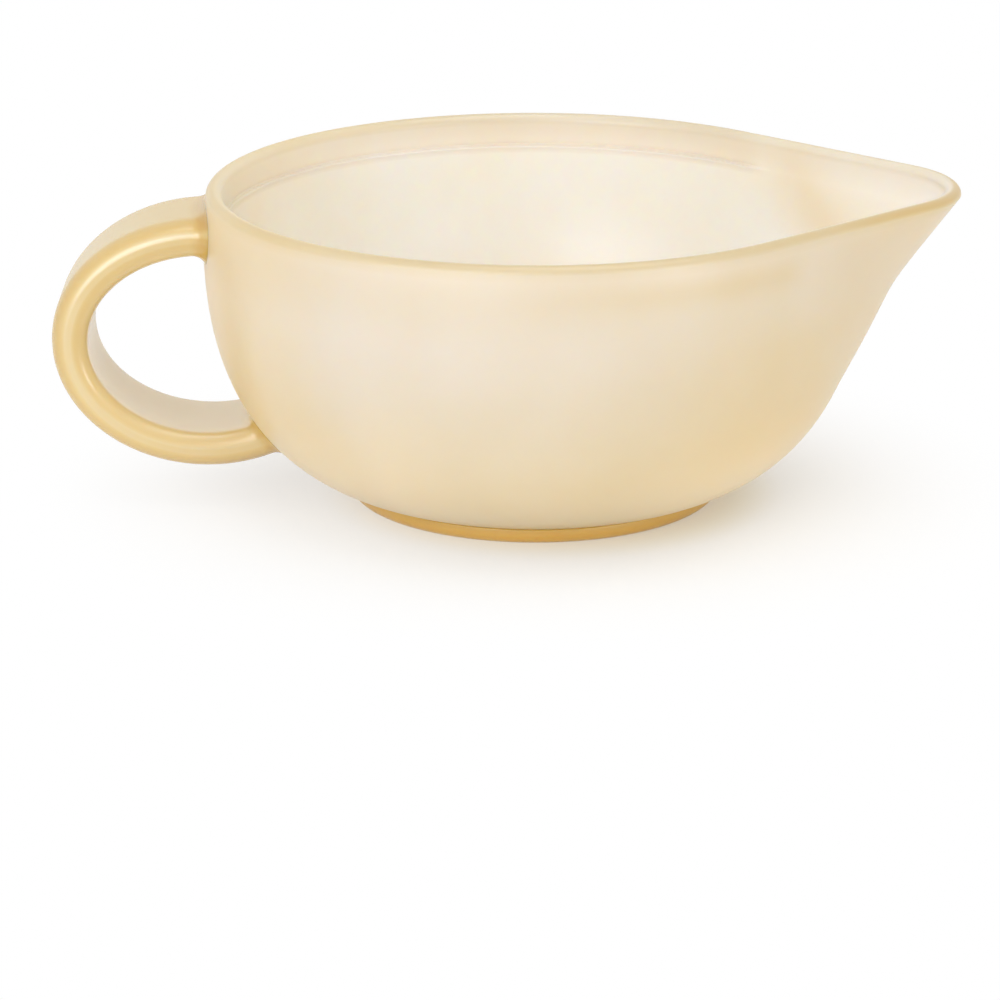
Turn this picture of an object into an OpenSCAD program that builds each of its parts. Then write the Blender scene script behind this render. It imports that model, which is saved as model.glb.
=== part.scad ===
// Baby feeding bowl of soft cast rubber: a round bowl drawn out into a pouring spout,
// a strap loop for a handle and a thick round foot.
// The origin is the middle of the foot's underside, +Z is up and +X points to the spout.

/* [Bowl] */
// Outer diameter of the round rim
rim_d = 120; // [104:1:140]
// Height of the rim above the table
bowl_h = 58; // [52:1:70]
// Wall thickness just below the ledge
wall_t = 3.8; // [3.5:0.1:5]
// Thickness of the rounded lip above the ledge
lip_t = 3; // [2.4:0.1:3.3]
// Depth of the ledge below the top of the rim
ledge_depth = 5.8; // [4:0.1:9]
// Fall of the ledge towards the middle of the bowl
ledge_fall = 0.2; // [0.1:0.1:0.5]
// Rounding of the ledge's edge
ledge_round = 0.4; // [0.2:0.1:0.6]
// Diameter of the flat floor inside the bowl
floor_d = 54; // [44:1:58]
// Thickness of the floor over the foot's boss
floor_t = 3; // [2:0.1:5]

/* [Bowl curves] */
// Reach of the outer wall's low curve past the foot
belly_reach = 17; // [10:0.5:20]
// Rise of the outer wall's low curve over that reach
belly_rise = 4.8; // [1:0.2:8]
// Swell of the outer wall's high curve past the rim
shoulder_swell = 3.2; // [0:0.1:5]
// Height of the outer wall's high curve above the foot
shoulder_rise = 22.6; // [14:0.2:30]
// Reach of the inner wall's low curve past the flat floor
fillet_reach = 12; // [8:0.5:16]
// Swell of the inner wall's high curve past the ledge
inner_swell = 1.8; // [0:0.1:3]
// Height of the inner wall's high curve above the floor
inner_rise = 15; // [10:0.5:22]

/* [Spout] */
// Reach of the spout's tip past the round rim
spout_reach = 17.6; // [10:0.1:26]
// Radius of the spout's tip, seen from above
spout_tip_r = 21.2; // [14:0.2:30]
// Height where the flare leaves the round wall, at the middle of the spout
flare_h = 17.4; // [12:0.2:26]
// Half angle that the flare takes up at the rim
flare_angle = 46; // [40:1:60]
// Part of the spout's reach that lies past the fold
fold_reach = 6.2; // [2:0.1:9]
// Height of the fold at the middle of the spout
fold_h = 40; // [34:0.5:46]
// Half angle that the fold takes up at the rim
fold_angle = 32; // [24:1:38]
// Half angle of the spout where the ledge has run out
ledge_end_angle = 38; // [30:1:44]

/* [Handle] */
// Reach of the handle past the round rim
handle_reach = 28.2; // [20:0.2:40]
// Drop from the top of the rim to the top of the handle
handle_drop = 4.2; // [3.6:0.2:10]
// Lift of the handle's underside above the table
handle_lift = 7.2; // [6:0.2:14]
// Thickness of the handle's strap
strap_t = 6.7; // [5:0.1:9]
// Width of the strap at the bowl
strap_w = 24; // [16:0.5:30]
// Width of the strap at its outer end
strap_end_w = 22.4; // [14:0.2:28]
// Corner radius of the strap
strap_corner_r = 3; // [1.5:0.1:3.2]
// Fillet where the strap meets the bowl
root_r = 1.4; // [0.6:0.1:2]
// Bond line between the strap's ends and the bowl
bond_gap = 0.05; // [0.02:0.01:0.2]

/* [Foot] */
// Diameter of the foot
foot_d = 69; // [62:1:74]
// Thickness of the foot
foot_h = 3; // [2:0.1:5]
// Rounding of the foot's lower edge
foot_edge_r = 1.2; // [0.4:0.1:1.8]
// Step by which the foot stands out past the bowl's base
foot_step = 0.4; // [0.2:0.1:1]
// Diameter of the boss that sits in the bowl's base
boss_d = 58; // [40:1:60]
// Height of the boss
boss_h = 1; // [0.5:0.1:2]
// Clearance round and over the boss
boss_gap = 0.15; // [0.1:0.05:0.3]

/* [Hidden] */

rim_r = rim_d / 2;
foot_r = foot_d / 2;
base_r = foot_r - foot_step;
floor_r = floor_d / 2;
recess_r = boss_d / 2 + boss_gap;
recess_z = foot_h + boss_h + boss_gap;
floor_z = recess_z + floor_t;
lip_z = bowl_h - lip_t / 2;
ledge_z = bowl_h - ledge_depth;
ledge_w = wall_t - lip_t;
edge_round = min(ledge_round, ledge_w / 2);

// Centre and half axes of the ellipse that the strap's middle follows
loop_x = -rim_r;
loop_z = (bowl_h - handle_drop + handle_lift) / 2;
loop_a = handle_reach - strap_t / 2;
loop_b = (bowl_h - handle_drop - handle_lift - strap_t) / 2;

// Bends of the flare and of the fold, and of the arches they start from
flare_bend = 1.5;
fold_bend = 1.15;
flare_arch = 1.4;
fold_arch = 2;
// The most that an arch climbs, as a part of the way to the lip
arch_top = 0.98;

// Steps of the surfaces
around = 96;
outer_steps = 20;
lip_steps = 6;
round_steps = 2;
inner_steps = 16;
corner_steps = 5;
flat_steps = 6;
fillet_steps = 4;
loop_steps = 40;
// How much closer the columns stand at the spout, in degrees
column_pull = 30;
// Sizes of the rings that close the strap's ends, as parts of the section
cap_rings = [0.35, 0.7];
// Halvings in each search for a point on the wall
halvings = 26;
// Angles on the strap's ellipse: its outer end, and past the wall at both roots
loop_out = 180;
loop_in_top = 40;
loop_in_low = 320;

// Cubic curve through its first and last points
function curve(p, t) =
    pow(1 - t, 3) * p[0] + 3 * t * pow(1 - t, 2) * p[1]
    + 3 * t * t * (1 - t) * p[2] + pow(t, 3) * p[3];

outer_curve = [
    [base_r, foot_h],
    [foot_r + belly_reach, foot_h + belly_rise],
    [rim_r + shoulder_swell, foot_h + shoulder_rise],
    [rim_r, lip_z]
];

inner_curve = [
    [floor_r, floor_z],
    [floor_r + fillet_reach, floor_z],
    [rim_r - wall_t + inner_swell, floor_z + inner_rise],
    [rim_r - wall_t, ledge_z - ledge_fall - edge_round]
];

// Radius of the round outer wall at height z
function wall_r(z, low = 0, high = 1, n = halvings) =
    n == 0 ? curve(outer_curve, (low + high) / 2)[0]
    : let (mid = (low + high) / 2)
      curve(outer_curve, mid)[1] < z ? wall_r(z, mid, high, n - 1) : wall_r(z, low, mid, n - 1);

// Plan of the rim, drawn in by inset: distance from the axis at angle a off the spout
function rim_plan(a, inset) =
    let (
        r = rim_r - inset,
        tip_r = spout_tip_r - inset,
        d = rim_r + spout_reach - spout_tip_r,
        leave = acos((r - tip_r) / d),
        meet = atan2(tip_r * sin(leave), d + tip_r * cos(leave)),
        off = abs(a)
    )
    off < meet ? d * cos(off) + sqrt(tip_r * tip_r - pow(d * sin(off), 2))
    : off < leave ? r / cos(off - leave)
    : r;

// Height where an arch starts at angle a: low at the middle of the spout, up to the lip at its side
function arch(low, side, bend, a) =
    low + (lip_z - low) * min(pow(abs(a) / side, bend), arch_top);

// How far up from an arch to the lip height z is, from 0 to 1
function climb(z, start) = min(max((z - start) / (lip_z - start), 0), 1);

// Part of the spout's reach that the wall has at angle a and height z
function flare(a, z) =
    let (past_fold = fold_reach / spout_reach)
    (1 - past_fold) * pow(climb(z, arch(flare_h, flare_angle, flare_arch, a)), flare_bend)
    + past_fold * pow(climb(z, arch(fold_h, fold_angle, fold_arch, a)), fold_bend);

// From 0 on the round wall to 1 in the spout, where the ledge runs out
function ledge_fade(a) =
    let (u = min(max((flare_angle - abs(a)) / (flare_angle - ledge_end_angle), 0), 1))
    u * u * (3 - 2 * u);

// Angles of the bowl's columns, closer together at the spout
function column_angle(i) =
    let (a = 360 * i / around, turn = a - column_pull * sin(a))
    turn > 180 ? turn - 360 : turn;

// A row of the bowl's section: radius, height, inset from the outside, and fill in the spout
function row(p, inset, fill = 0) = [p[0], p[1], inset, fill];

outer_rows = [for (k = [0:outer_steps]) row(curve(outer_curve, k / outer_steps), 0)];

lip_rows = [
    for (k = [1:lip_steps])
        let (u = 180 * k / lip_steps, inset = lip_t / 2 * (1 - cos(u)))
        row([rim_r - inset, lip_z + lip_t / 2 * sin(u)], inset)
];

ledge_rows = [
    row([rim_r - lip_t, ledge_z], lip_t),
    for (k = [0:round_steps])
        let (
            u = 90 * k / round_steps,
            r = rim_r - wall_t + edge_round * (1 - sin(u)),
            z = ledge_z - ledge_fall - edge_round * (1 - cos(u))
        )
        row([r, z], lip_t, rim_r - lip_t - r)
];

inner_rows = [
    for (k = [1:inner_steps])
        let (u = k / inner_steps)
        row(curve(inner_curve, 1 - u), lip_t, ledge_w * (1 - u))
];

bowl_rows = concat(
    [row([recess_r, recess_z], 0), row([recess_r, foot_h], 0)],
    outer_rows, lip_rows, ledge_rows, inner_rows
);

function bowl_point(row, a) =
    let (
        reach = rim_plan(a, row[2]) - (rim_r - row[2]),
        rho = row[0] + reach * flare(a, row[1]) + row[3] * ledge_fade(a)
    )
    [rho * cos(a), rho * sin(a), row[1]];

// Faces of a tube of rings, closed by a point below the first ring and one past the last
function tube_faces(rings, sides) =
    let (first = rings * sides, last = first + 1)
    concat(
        [for (i = [0:sides - 1]) [first, i, (i + 1) % sides]],
        [
            for (j = [0:rings - 2], i = [0:sides - 1])
                let (n = (i + 1) % sides, a = j * sides, b = a + sides)
                each [[a + i, b + i, b + n], [a + i, b + n, a + n]]
        ],
        [
            for (i = [0:sides - 1])
                let (a = (rings - 1) * sides)
                [last, a + (i + 1) % sides, a + i]
        ]
    );

// Width of the strap at angle u of its ellipse
function strap_width(u) = strap_w + (strap_end_w - strap_w) * pow(cos(u), 2);

// Direction of each point round the strap's section, and its place across the two flat sides
strap_points = [
    for (corner = [0:3])
        let (side = sign(cos(90 * corner + 45)), face = sign(sin(90 * corner + 45)))
        each concat(
            [
                for (k = [0:corner_steps])
                    let (turn = 90 * (corner + k / corner_steps))
                    [cos(turn), sin(turn), side, face]
            ],
            [
                if (corner % 2 == 0)
                    for (k = [1:flat_steps - 1])
                        [0, face, side * (1 - 2 * k / flat_steps), face]
            ]
        )
];

// A point of the strap at angle u, its section grown by grow and then drawn in by part
function strap_point(p, u, grow = 0, part = 1) =
    let (
        side = part * (p[2] * (strap_width(u) / 2 - strap_corner_r) + p[0] * (strap_corner_r + grow)),
        out = part * (p[3] * (strap_t / 2 - strap_corner_r) + p[1] * (strap_corner_r + grow)),
        normal = [cos(u) / loop_a, sin(u) / loop_b],
        unit = normal / norm(normal)
    )
    [loop_x + loop_a * cos(u) + out * unit[0], side, loop_z + loop_b * sin(u) + out * unit[1]];

// Angle where that point lies stand off the bowl's wall, between one outside and one inside it
function wall_angle(p, grow, part, stand, outside, inside, n = halvings) =
    let (u = (outside + inside) / 2)
    n == 0 ? u
    : let (q = strap_point(p, u, grow, part), off = norm([q[0], q[1]]) - wall_r(q[2]) - stand)
      off > 0 ? wall_angle(p, grow, part, stand, u, inside, n - 1)
      : wall_angle(p, grow, part, stand, outside, u, n - 1);

function wall_ring(grow, part, stand, inside) = [
    for (p = strap_points)
        strap_point(p, wall_angle(p, grow, part, stand + bond_gap, loop_out, inside), grow, part)
];

// Rings of one root, from the middle of its end out to its edge and up its fillet
function root_rings(inside) = concat(
    [for (part = cap_rings) wall_ring(root_r, part, 0, inside)],
    [
        for (k = [0:fillet_steps])
            let (u = 90 * k / fillet_steps)
            wall_ring(root_r * (1 - sin(u)), 1, root_r * (1 - cos(u)), inside)
    ]
);

// Rings of the strap between its two fillets
function loop_rings() =
    let (
        low = [for (p = strap_points) wall_angle(p, 0, 1, root_r + bond_gap, loop_out, loop_in_low)],
        top = [for (p = strap_points) wall_angle(p, 0, 1, root_r + bond_gap, loop_out, loop_in_top)]
    )
    [
        for (k = [1:loop_steps - 1])
            [
                for (i = [0:len(strap_points) - 1])
                    strap_point(strap_points[i], low[i] + (top[i] - low[i]) * k / loop_steps)
            ]
    ];

function reversed(list) = [for (i = [len(list) - 1:-1:0]) list[i]];

// The point on the wall at the middle of one of the strap's ends
function root_middle(inside) = wall_ring(0, 0, 0, inside)[0];

module bowl() {
    columns = [for (i = [0:around - 1]) column_angle(i)];
    points = concat(
        [for (row = bowl_rows, a = columns) bowl_point(row, a)],
        [[0, 0, recess_z], [0, 0, floor_z]]
    );
    color("antiquewhite")
        polyhedron(points, tube_faces(len(bowl_rows), around), convexity = 4);
}

module handle() {
    rings = concat(root_rings(loop_in_low), loop_rings(), reversed(root_rings(loop_in_top)));
    points = concat(
        [for (ring = rings) each ring],
        [root_middle(loop_in_low), root_middle(loop_in_top)]
    );
    color("wheat")
        polyhedron(points, tube_faces(len(rings), len(strap_points)), convexity = 4);
}

module foot() {
    color("burlywood")
        rotate_extrude($fn = around)
            union() {
                square([foot_r - foot_edge_r, foot_h]);
                translate([0, foot_edge_r])
                    square([foot_r, foot_h - foot_edge_r]);
                translate([foot_r - foot_edge_r, foot_edge_r])
                    circle(foot_edge_r, $fn = around);
                square([boss_d / 2, foot_h + boss_h]);
            }
}

bowl();
handle();
foot();
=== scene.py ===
"""Baby feeding bowl: a soft rubber bowl with a pouring spout, a strap loop handle and a round foot.

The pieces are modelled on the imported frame, in metres, and stand in a plain pale studio.
"""

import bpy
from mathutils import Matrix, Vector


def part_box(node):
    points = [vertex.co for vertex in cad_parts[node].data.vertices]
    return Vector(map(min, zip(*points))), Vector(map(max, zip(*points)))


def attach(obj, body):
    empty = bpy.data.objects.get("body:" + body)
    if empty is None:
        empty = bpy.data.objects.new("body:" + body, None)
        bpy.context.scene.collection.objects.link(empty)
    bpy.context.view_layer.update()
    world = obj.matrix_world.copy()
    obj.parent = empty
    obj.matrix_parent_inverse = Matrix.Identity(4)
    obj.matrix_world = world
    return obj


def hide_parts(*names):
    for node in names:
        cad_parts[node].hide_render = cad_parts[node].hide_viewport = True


bl_info = {
    "name": "Baby Feeding Bowl",
    "version": (1, 0, 0),
    "blender": (4, 5, 0),
    "location": "3D View > Sidebar > Feeding Bowl",
    "description": "Builds a soft rubber feeding bowl with a spout, a strap handle and a foot",
    "category": "Object",
}

import math

import bpy
import numpy as np
from bpy.props import FloatProperty, FloatVectorProperty, IntProperty, PointerProperty
from mathutils import Vector
from mathutils.bvhtree import BVHTree

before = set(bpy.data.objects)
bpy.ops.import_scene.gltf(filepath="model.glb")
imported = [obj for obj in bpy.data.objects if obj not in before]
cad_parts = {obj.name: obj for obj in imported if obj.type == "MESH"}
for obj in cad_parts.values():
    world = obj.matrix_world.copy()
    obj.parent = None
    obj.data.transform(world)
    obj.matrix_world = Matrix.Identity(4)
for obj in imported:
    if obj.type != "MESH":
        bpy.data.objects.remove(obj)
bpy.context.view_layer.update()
BOWL_LOW, BOWL_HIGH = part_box("bowl")
HANDLE_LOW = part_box("handle")[0]
FOOT_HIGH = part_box("foot")[1]

# One millimetre, in the frame's metres
MM = 0.001
RIM_RADIUS = 60 * MM
BODY = "root"
# Mesh attribute that holds how deep the rubber's colour is at each point, from 0 for thin rubber; besides
# the thickness it holds painted shade on the spout's side, in its fold and at the strap's roots, and
# painted light, shade and highlight on the strap
DEPTH = "depth"
# Mesh attribute that holds how pale the thin rubber is, from 0 on the lip to 1 inside the bowl; the paler
# inside, sides and base and the line under the lip are painted light
PALE = "pale"

# Steps of the meshes
OUTER_STEPS = 70
INNER_STEPS = 80
LIP_STEPS = 18
BAND_STEPS = 8
COVE_STEPS = 4
EDGE_STEPS = 5
FLOOR_STEPS = 10
CORNER_STEPS = 12
FILLET_STEPS = 8
STRAP_STEPS = 120
FOOT_STEPS = 12
FOOT_LOW_STEPS = 10
FOOT_TOP_STEPS = 5
FOOT_SIDES = 192
# Samples of the outer wall's curve, and halvings in the search for where the strap meets it
CURVE_SAMPLES = 400
HALVINGS = 40
# Share of the way up to the lip that the flare's and the fold's lines reach at most
ARCH_TOP = 0.98
# Angle on the strap's ellipse, in degrees, that lies well inside the bowl at each end
INSIDE_ANGLE = 40
# Shares of the section's size that the rings across the strap's ends have
ROOT_SHARES = (0.001, 0.25, 0.5, 0.75)
# Angle between two faces past which their edge stays sharp
SHARP_ANGLE = math.radians(50)
# Depth under the surface where the ray that measures the thickness starts, and passes that smooth it
RAY_START = 0.02 * MM
SMOOTH_PASSES = 6
# Scale, detail and roughness of each noise in the rubber, and the mean of a noise
CLOUD_NOISE = (55.0, 3.0, 0.55)
SMEAR_NOISE = (90.0, 4.0, 0.6)
GRAIN_NOISE = (2600.0, 2.0, 0.5)
NOISE_MEAN = 0.5
# Width of the camera's sensor, in millimetres
SENSOR_WIDTH = 36


def length(name, description, default):
    """A size that the sidebar shows in length units."""
    return FloatProperty(name=name, description=description, default=default, unit="LENGTH", precision=4)


def angle(name, description, degrees):
    """An angle that the sidebar shows in degrees."""
    return FloatProperty(name=name, description=description, default=math.radians(degrees), subtype="ANGLE")


def share(name, description, default):
    """A value from 0 to 1."""
    return FloatProperty(
        name=name, description=description, default=default, min=0, max=1, subtype="FACTOR"
    )


def number(name, description, default):
    """A plain number."""
    return FloatProperty(name=name, description=description, default=default, precision=3)


def colour(name, description, red, green, blue):
    """A colour in linear light."""
    tone = (red, green, blue)
    return FloatVectorProperty(
        name=name, description=description, default=tone, size=3, min=0, max=1, subtype="COLOR"
    )


def place(name, description, x, y, z):
    """A point in the frame."""
    return FloatVectorProperty(
        name=name, description=description, default=(x, y, z), size=3, subtype="TRANSLATION", unit="LENGTH"
    )


class BowlSizes(bpy.types.PropertyGroup):
    """Sizes of the round bowl."""

    rim_radius: length("Rim radius", "Outer radius of the round rim", RIM_RADIUS)
    height: length("Height", "Height of the rim above the table", BOWL_HIGH.z)
    wall: length("Wall", "Wall thickness just below the ledge", 3.8 * MM)
    lip: length("Lip", "Thickness of the rounded lip above the ledge", 3 * MM)
    ledge_depth: length("Ledge depth", "Depth of the ledge below the top of the rim", 5.8 * MM)
    ledge_fall: length("Ledge fall", "Fall of the ledge towards the middle of the bowl", 0.2 * MM)
    ledge_round: length("Ledge rounding", "Rounding of the ledge's edge", 0.4 * MM)
    ledge_cove: length("Ledge cove", "Hollow rounding where the ledge meets the lip", 0.3 * MM)
    floor_radius: length("Floor radius", "Radius of the flat floor inside", 27 * MM)
    floor_thickness: length("Floor thickness", "Thickness of the floor over the foot's boss", 3 * MM)
    belly_reach: length("Belly reach", "Reach of the outer wall's low curve past the foot", 17 * MM)
    belly_rise: length("Belly rise", "Rise of the outer wall's low curve over that reach", 4.8 * MM)
    shoulder_swell: length("Shoulder swell", "Swell of the outer wall's high curve past the rim", 3.2 * MM)
    shoulder_rise: length("Shoulder rise", "Height of the wall's high curve above the foot", 22.6 * MM)
    fillet_reach: length("Fillet reach", "Reach of the inner wall's low curve past the floor", 12 * MM)
    inner_swell: length("Inner swell", "Swell of the inner wall's high curve past the ledge", 1.8 * MM)
    inner_rise: length("Inner rise", "Height of the inner wall's high curve above the floor", 15 * MM)
    columns: IntProperty(name="Columns", description="Columns of faces round the bowl", default=240, min=48)
    column_pull: angle("Column pull", "How far the columns are drawn towards the spout", 30)


class SpoutSizes(bpy.types.PropertyGroup):
    """Sizes of the pouring spout."""

    reach: length("Reach", "Reach of the spout's tip past the round rim", BOWL_HIGH.x - RIM_RADIUS)
    tip_radius: length("Tip radius", "Radius of the spout's tip, seen from above", 21.2 * MM)
    flare_height: length("Flare height", "Height where the flare leaves the round wall", 17.4 * MM)
    flare_angle: angle("Flare angle", "Half angle that the flare takes up at the rim", 46)
    fold_reach: length("Fold reach", "Part of the reach that lies past the fold", 6.2 * MM)
    fold_height: length("Fold height", "Height of the fold at the middle of the spout", 40 * MM)
    fold_angle: angle("Fold angle", "Half angle that the fold takes up at the rim", 32)
    flare_arch: number("Flare arch", "Bend of the line where the flare leaves the wall", 1.4)
    flare_bend: number("Flare bend", "How late the flare opens on its way up", 1.5)
    fold_arch: number("Fold arch", "Bend of the fold's line", 2.0)
    fold_bend: number("Fold bend", "How late the wall opens past the fold", 1.15)
    crease_round: length("Crease rounding", "Rounding of the fold and of the flare's start", 2.4 * MM)
    ledge_end_angle: angle("Ledge end", "Half angle where the ledge has run out", 38)


class HandleSizes(bpy.types.PropertyGroup):
    """Sizes of the strap loop."""

    reach: length("Reach", "Reach of the handle past the round rim", -HANDLE_LOW.x - RIM_RADIUS)
    drop: length("Drop", "Drop from the top of the rim to the top of the handle", 4.2 * MM)
    lift: length("Lift", "Lift of the handle's underside above the table", HANDLE_LOW.z)
    thickness: length("Thickness", "Thickness of the strap", 6.7 * MM)
    width: length("Width", "Width of the strap at the bowl", 24 * MM)
    end_width: length("End width", "Width of the strap at its outer end", 22.4 * MM)
    corner: length("Corner", "Height of the rounding at the strap's corners", 3 * MM)
    outer_round: length("Outer rounding", "Width of the rounding along the strap's outer face", 4.5 * MM)
    inner_round: length("Inner rounding", "Width of the rounding along the strap's inner face", 2.6 * MM)
    root: length("Root fillet", "Fillet where the strap meets the bowl", 2.8 * MM)
    sink: length("Sink", "Depth by which the strap's ends go into the wall", 0.3 * MM)


class FootSizes(bpy.types.PropertyGroup):
    """Sizes of the foot."""

    radius: length("Radius", "Outer radius of the foot", FOOT_HIGH.x)
    thickness: length("Thickness", "Thickness of the foot below the bowl", BOWL_LOW.z)
    edge: length("Lower edge", "Rounding of the foot's lower edge", 2.2 * MM)
    top_edge: length("Upper edge", "Rounding of the foot's upper edge", 0.3 * MM)
    step: length("Step", "Step by which the foot stands out past the bowl's base", 0.4 * MM)
    boss_radius: length("Boss radius", "Radius of the boss in the bowl's base", 29 * MM)
    boss_height: length("Boss height", "Height of the boss", FOOT_HIGH.z - BOWL_LOW.z)
    boss_gap: length("Boss gap", "Clearance round and over the boss", 0.15 * MM)


class RubberLook(bpy.types.PropertyGroup):
    """Colours and finish of the rubber."""

    lip: colour("Lip", "Colour of the lip's rubber where it is thin", 0.65, 0.59, 0.49)
    strap: colour("Strap", "Colour of the strap's rubber where it is thin", 0.865, 0.815, 0.71)
    foot: colour("Foot", "Colour of the foot's rubber where it is thin", 0.91, 0.74, 0.405)
    # Painted light: the inside is paler than the outside, for the light that comes through the walls into
    # the bowl
    inside: colour("Inside", "Colour of the bowl's inside where it is thin", 0.965, 0.93, 0.925)
    soak: colour("Soak", "Colour that light takes on through a full depth of rubber", 0.85, 0.68, 0.34)
    wall_pale: share("Wall paleness", "How far the outside is from the lip's to the inside's colour", 0.39)
    # Painted light: paler rubber towards the handle and low at both ends, where the wall is in shade
    side_painted_light: share("Side paleness", "Added paleness by the handle and low at both ends", 0.40)
    depth_start: length("Depth start", "Thickness from which the rubber deepens in colour", 3 * MM)
    depth_length: length("Depth length", "Thickness that deepens the colour by a full depth", 15 * MM)
    depth_end: length("Depth end", "Thickness past which the colour deepens no further", 8 * MM)
    wall_depth: number("Wall depth", "Depth of colour all over the outside", 0.03)
    belly_depth: number("Belly depth", "Deeper colour low on the outside", 0.30)
    channel_depth: number("Channel depth", "Deeper colour inside the spout", 0.07)
    floor_depth: number("Floor depth", "Deeper colour of the floor inside", 0.45)
    shoulder_depth: number("Shoulder depth", "Deeper colour high on the outside", 0.12)
    handle_depth: number("Handle depth", "Deeper colour of the wall towards the handle", 0.40)
    # Painted shade: deeper colour of the wall on the spout's side, away from the lamps
    spout_side_painted_shade: number("Spout depth", "Deeper colour of the wall below the spout", 0.46)
    lip_depth: number("Lip depth", "Deeper colour along the edge of the lip", 0.22)
    spout_lip_depth: number("Spout lip depth", "Deeper colour along the edge of the spout's tip", 0.20)
    ledge_depth: number("Ledge depth", "Deeper colour of the wall at the ledge", 0.20)
    # Painted shade: deeper colour between the flare and the fold, inside the spout
    fold_painted_shade: number("Fold depth", "Deeper colour between the flare and the fold, inside the spout", 0.22)
    # Painted shade and light on the strap's faces: the outer face is deeper in colour, against the sheen
    # that the light from above gives it, and the inner face lighter, against the shade inside the loop
    strap_depth: number("Strap depth", "Depth of colour of the strap's outer face", 0.95)
    strap_inner_painted_light_depth: number("Strap inner depth", "Depth of colour of the strap's inner face", 0.42)
    strap_side_depth: number("Strap side depth", "Depth of colour of the strap's round sides", 1.0)
    # Painted shade on the strap's sides towards the outer face, and painted light at the inner edge, where
    # its rounding is shaded
    strap_painted_shade_and_light: number("Strap shade", "Deeper colour of the strap's sides towards its outer face", 0.25)
    # Painted highlight: a paler ribbon along the middle of the strap's sides, stronger on top of the loop,
    # where the lamps shine on it
    strap_painted_highlight: number("Strap ribbon", "Paler colour along the middle of the strap's sides", 0.40)
    strap_painted_highlight_top: number("Ribbon at the top", "How much stronger the ribbon is on top of the loop", 0.6)
    # Deeper colour where the strap meets the bowl: the thicker rubber of its fillet, and painted shade in
    # the crease
    root_depth_and_crease_shade: number("Root depth", "Deeper colour where the strap meets the bowl", 0.75)
    foot_depth: number("Foot depth", "Depth of colour of the foot", 1.05)
    underside_depth: number("Underside depth", "Depth of colour of the foot's underside", 0.35)
    cloud: share("Cloud", "Strength of the cloudy drift in the rubber's colour", 0.20)
    roughness: share("Roughness", "Roughness of the satin bowl", 0.35)
    strap_roughness: share("Strap roughness", "Roughness of the smoother strap", 0.24)
    smear: share("Smear", "Strength of the smears in the roughness", 0.06)
    grain: share("Grain", "Strength of the fine grain", 0.12)
    grain_height: length("Grain height", "Height of the fine grain", 0.05 * MM)
    refraction: number("Refraction", "How much the rubber bends light", 1.5)
    gloss: share("Gloss", "Strength of the bowl's highlights", 0.8)
    strap_gloss: share("Strap gloss", "Strength of the strap's highlights", 1.0)
    glow: share("Glow", "Share of the light that goes through the rubber", 0.8)
    glow_colour: colour("Glow colour", "How far each colour of light goes into the rubber", 1.0, 0.8, 0.5)
    glow_scale: length("Glow depth", "How deep light goes into the bowl's rubber", 4 * MM)
    strap_glow_scale: length("Strap glow depth", "How deep light goes into strap and foot", 1.5 * MM)


class StudioLook(bpy.types.PropertyGroup):
    """Camera, lamps and floor."""

    camera: place("Camera", "Place of the camera", -0.0110, -0.7590, 0.2421)
    aim: place("Aim", "Point that the camera looks at", -0.0064, 0.0, -0.0025)
    lens: number("Lens", "Focal length of the camera, in millimetres", 153.93)
    world: number("Sky", "Strength of the even light from all sides", 0.60)
    lamp_aim: place("Lamp aim", "Point that the lamps face", 0, 0, 0.03)
    key_power: number("Key power", "Power of the main soft lamp, high up, in watts", 5.0)
    key_place: place("Key place", "Place of the main lamp", 0.18, -0.10, 1.2)
    key_size: length("Key size", "Width of the main lamp", 1.0)
    front_power: number("Front power", "Power of the low soft lamp in front, in watts", 4.4)
    front_place: place("Front place", "Place of the front lamp", -0.54, -0.92, 0.30)
    front_size: length("Front size", "Width of the front lamp", 0.75)
    right_power: number("Right power", "Power of the low soft lamp on the right, in watts", 1.8)
    right_place: place("Right place", "Place of the right lamp", 0.75, -0.75, 0.12)
    right_size: length("Right size", "Width of the right lamp", 0.40)
    floor_half: length("Floor half width", "Half the width of the floor", 3.0)
    floor: colour("Floor", "Colour of the pale floor", 0.98, 0.96, 0.925)
    # Painted shade: a warm amber tint on the floor by the foot, for the shadow that light through the
    # rubber colours
    painted_floor_shade: colour("Floor near", "Colour of the floor in the foot's own glow", 0.90, 0.76, 0.28)
    handle_glow: share("Floor by the handle", "Share of plain white in the shade by the handle", 0.53)
    spout_glow: share("Floor by the spout", "Share of plain white in the shade by the spout", 0.28)
    shade: place("Shade", "Middle of the floor's shaded part", 0, 2 * MM, 0)
    shade_start: length("Shade start", "Distance from the middle where the shade starts to fade", 22 * MM)
    shade_end: length("Shade end", "Distance from the middle where the floor is plain white", 96 * MM)
    painted_shade_middle: place("Warmth", "Middle of the floor's tinted part", 3 * MM, 0, 0)
    painted_shade_start: length("Warmth start", "Distance past the foot where the tint starts to fade", -3 * MM)
    painted_shade_end: length("Warmth end", "Distance past the foot where the tint has gone", 10 * MM)


class FeedingBowl(bpy.types.PropertyGroup):
    """All settings of the feeding bowl."""

    bowl: PointerProperty(type=BowlSizes)
    spout: PointerProperty(type=SpoutSizes)
    handle: PointerProperty(type=HandleSizes)
    foot: PointerProperty(type=FootSizes)
    rubber: PointerProperty(type=RubberLook)
    studio: PointerProperty(type=StudioLook)


# Curves of the bowl


def bezier(points, t):
    """Points of a cubic curve at each value of t."""
    p = np.asarray(points, float)
    t = np.asarray(t, float)[:, None]
    return (1 - t) ** 3 * p[0] + 3 * t * (1 - t) ** 2 * p[1] + 3 * t**2 * (1 - t) * p[2] + t**3 * p[3]


def smooth(low, high, value):
    """From 0 at low to 1 at high, with soft ends."""
    u = np.clip((value - low) / (high - low), 0, 1)
    return u * u * (3 - 2 * u)


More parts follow.
